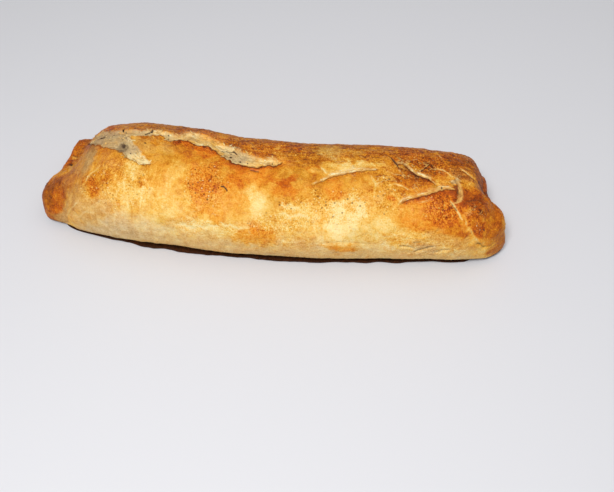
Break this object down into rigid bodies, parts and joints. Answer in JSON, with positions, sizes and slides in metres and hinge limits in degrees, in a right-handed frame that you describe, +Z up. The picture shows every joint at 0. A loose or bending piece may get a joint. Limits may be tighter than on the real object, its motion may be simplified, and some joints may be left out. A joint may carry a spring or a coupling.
{
  "type": "bedfordshire clanger",
  "caption": "Baked suet-crust roll, long and low with a flat sole, sealed ends, a split ridge and a browned, blistered top.",
  "frame": {"origin": "middle of the roll's box, on the flat sole that it rests on", "axes": "+X along the roll to its right end, +Y to its back, +Z up"},
  "size_m": [0.2112, 0.0598, 0.0388],
  "materials": {
    "baked_crust": "golden brown baked pastry, pale cream along its lower front and in its splits, satin glaze on the browned top"
  },
  "bodies": {
    "root": {"crust": "baked_crust"}
  },
  "joints": []
}
